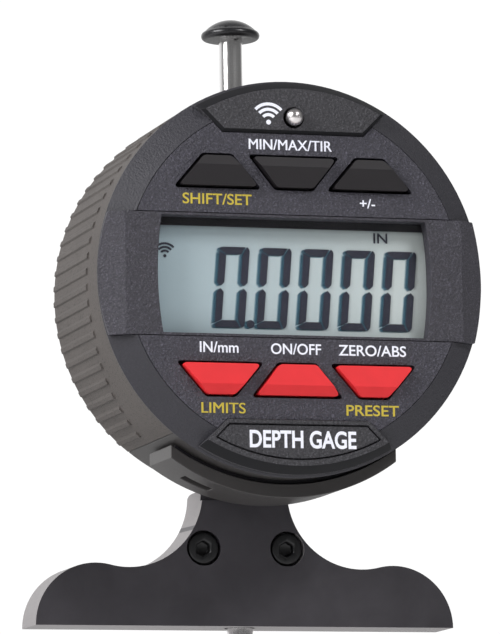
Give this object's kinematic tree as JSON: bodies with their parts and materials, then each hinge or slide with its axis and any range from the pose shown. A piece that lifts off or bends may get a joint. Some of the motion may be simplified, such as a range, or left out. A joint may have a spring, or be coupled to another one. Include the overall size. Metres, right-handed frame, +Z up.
{
  "type": "electronic depth indicator",
  "caption": "Digital depth indicator: round swivelling display head with keys and a battery drawer, spring-loaded spindle with lifting cap, clamped on an anvil-shaped flat base.",
  "frame": {"origin": "on the spindle axis, in the plane of the base's sole", "axes": "+Z up along the spindle, display faces -Y, +X to the right as the display is read"},
  "size_m": [0.0636, 0.0412, 0.116],
  "materials": {
    "black_steel": "black oxide, satin",
    "dark_steel": "satin",
    "screw_black": "black oxide",
    "steel": "satin",
    "bronze": "satin",
    "case_plastic": "matte",
    "cover_metal": "satin",
    "rubber": "matte",
    "spring_steel": "bright",
    "circuit_green": "solder mask",
    "chip_black": "matte",
    "polished_steel": "polished",
    "cap_black": "black oxide, polished",
    "carrier_plastic": "matte",
    "gold_plate": "plated",
    "grip_plastic": "fine texture",
    "housing_plastic": "smooth matte",
    "bezel_plastic": "smooth satin",
    "panel_plastic": "leather grain",
    "waist_plastic": "satin",
    "badge_plastic": "leather grain",
    "insert_plastic": "leather grain",
    "clear_window": "clear",
    "lcd_face": "liquid crystal",
    "holder_plastic": "matte",
    "mat_rubber": "matte",
    "key_black": "satin",
    "key_red": "satin",
    "chrome_ball": "polished",
    "door_plastic": "smooth matte"
  },
  "bodies": {
    "base": {"base_plate": "black_steel", "stem_clamp": "dark_steel", "clamp_screws": "screw_black", "stem": "steel", "lower_bushing": "bronze", "rear_case": "case_plastic", "back_cover": "cover_metal", "cover_screws": "steel", "top_bushing": "steel", "stop_buffer": "rubber", "guide_rod": "steel", "spring_post": "steel", "return_spring": "spring_steel", "stator_board": "circuit_green", "sensor_chip": "chip_black", "hub_connector": "chip_black", "hub_nut": "steel"},
    "spindle": {"spindle": "polished_steel", "lift_cap": "cap_black", "contact_point": "polished_steel", "slider_carrier": "carrier_plastic", "slider_strip": "gold_plate", "carrier_screw": "steel"},
    "head": {"grip_ring": "grip_plastic", "bottom_housing": "housing_plastic", "bezel": "bezel_plastic", "upper_panel": "panel_plastic", "lower_panel": "panel_plastic", "waist_panel": "waist_plastic", "top_badge": "badge_plastic", "badge_frame": "badge_plastic", "badge_insert": "insert_plastic", "window_lens": "clear_window", "lcd_glass": "lcd_face", "lcd_holder": "holder_plastic", "zebra_strips": "rubber", "main_board": "circuit_green", "controller_chip": "chip_black", "radio_module": "steel", "battery_contacts": "gold_plate", "key_mat": "mat_rubber", "head_back_plate": "case_plastic", "head_screws": "steel"},
    "shift_key": {"key_shift": "key_black"},
    "minmax_key": {"key_minmax": "key_black"},
    "sign_key": {"key_sign": "key_black"},
    "units_key": {"key_units": "key_red"},
    "power_key": {"key_power": "key_red"},
    "zero_key": {"key_zero": "key_red"},
    "send_key": {"send_button": "chrome_ball"},
    "battery_drawer": {"battery_door": "door_plastic", "battery_cell": "steel"}
  },
  "joints": [
    {"name": "spindle_travel", "type": "slide", "parent": "base", "child": "spindle", "axis": [0, 0, 1], "range_m": [0, 0.0254], "stiffness_N_per_m": 20, "springref_m": -0.03, "deforming": ["return_spring"]},
    {"name": "head_swivel", "type": "hinge", "parent": "base", "child": "head", "pos_m": [0, 0, 0.0476], "axis": [0, 1, 0], "range_deg": [-135, 135]},
    {"name": "shift_key_press", "type": "slide", "parent": "head", "child": "shift_key", "axis": [0, 1, 0], "range_m": [0, 0.0005], "stiffness_N_per_m": 800, "springref_m": -0.0002},
    {"name": "minmax_key_press", "type": "slide", "parent": "head", "child": "minmax_key", "axis": [0, 1, 0], "range_m": [0, 0.0005], "stiffness_N_per_m": 800, "springref_m": -0.0002},
    {"name": "sign_key_press", "type": "slide", "parent": "head", "child": "sign_key", "axis": [0, 1, 0], "range_m": [0, 0.0005], "stiffness_N_per_m": 800, "springref_m": -0.0002},
    {"name": "units_key_press", "type": "slide", "parent": "head", "child": "units_key", "axis": [0, 1, 0], "range_m": [0, 0.0005], "stiffness_N_per_m": 800, "springref_m": -0.0002},
    {"name": "power_key_press", "type": "slide", "parent": "head", "child": "power_key", "axis": [0, 1, 0], "range_m": [0, 0.0005], "stiffness_N_per_m": 800, "springref_m": -0.0002},
    {"name": "zero_key_press", "type": "slide", "parent": "head", "child": "zero_key", "axis": [0, 1, 0], "range_m": [0, 0.0005], "stiffness_N_per_m": 800, "springref_m": -0.0002},
    {"name": "send_press", "type": "slide", "parent": "head", "child": "send_key", "axis": [0, 1, 0], "range_m": [0, 0.0005], "stiffness_N_per_m": 800, "springref_m": -0.0002},
    {"name": "battery_drawer_slide", "type": "slide", "parent": "head", "child": "battery_drawer", "axis": [0, 0, -1], "range_m": [0, 0.024]}
  ]
}
